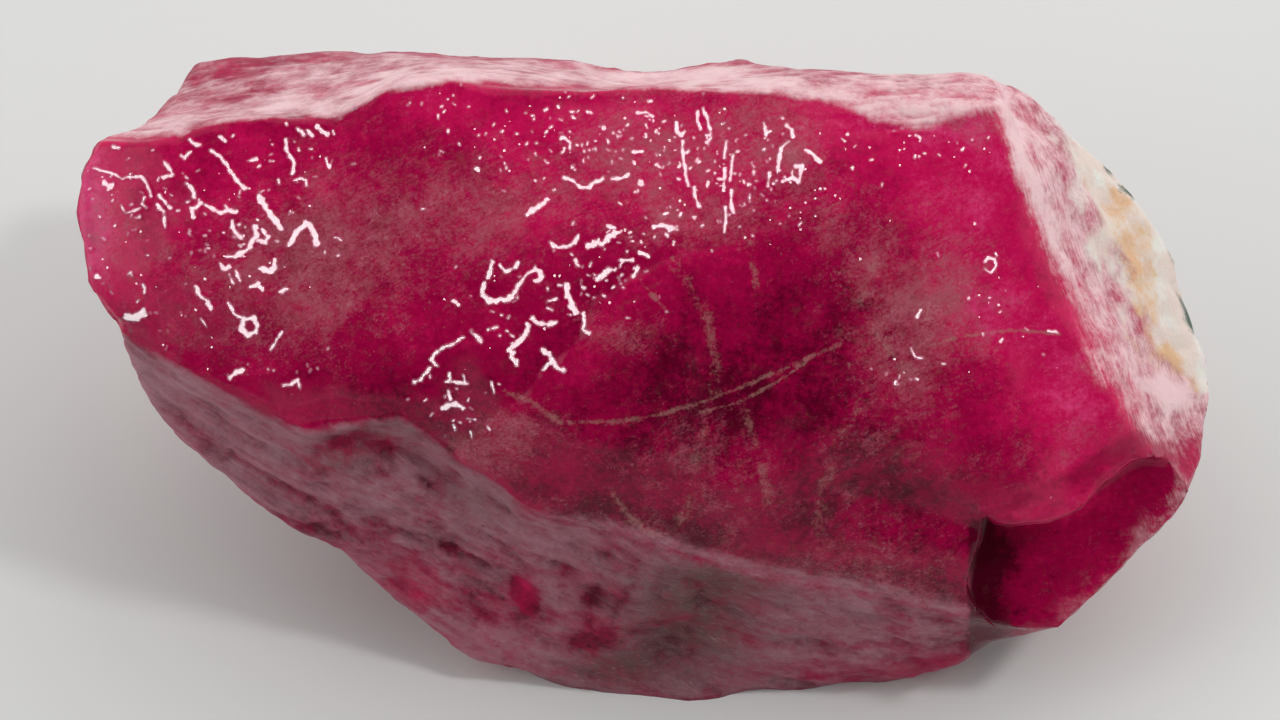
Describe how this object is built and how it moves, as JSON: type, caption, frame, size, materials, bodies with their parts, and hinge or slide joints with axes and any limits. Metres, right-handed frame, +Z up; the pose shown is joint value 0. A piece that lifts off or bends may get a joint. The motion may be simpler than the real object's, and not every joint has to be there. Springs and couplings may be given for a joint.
{
  "type": "rough tugtupite stone",
  "caption": "Rough broken piece of crimson tugtupite with a flat base, one large sloping face, a stepped notch and a pale rind at one end.",
  "frame": {"origin": "a point of the flat base that the stone rests on, below the middle of the large face", "axes": "+Z up, +X along the stone towards the end with the pale rind, -Y the side that the large face leans towards"},
  "size_m": [0.0466, 0.0247, 0.0228],
  "materials": {
    "tugtupite": "wet, vitreous, translucent crimson with a pale granular rind at one end"
  },
  "bodies": {
    "root": {"tugtupite": "tugtupite"}
  },
  "joints": []
}
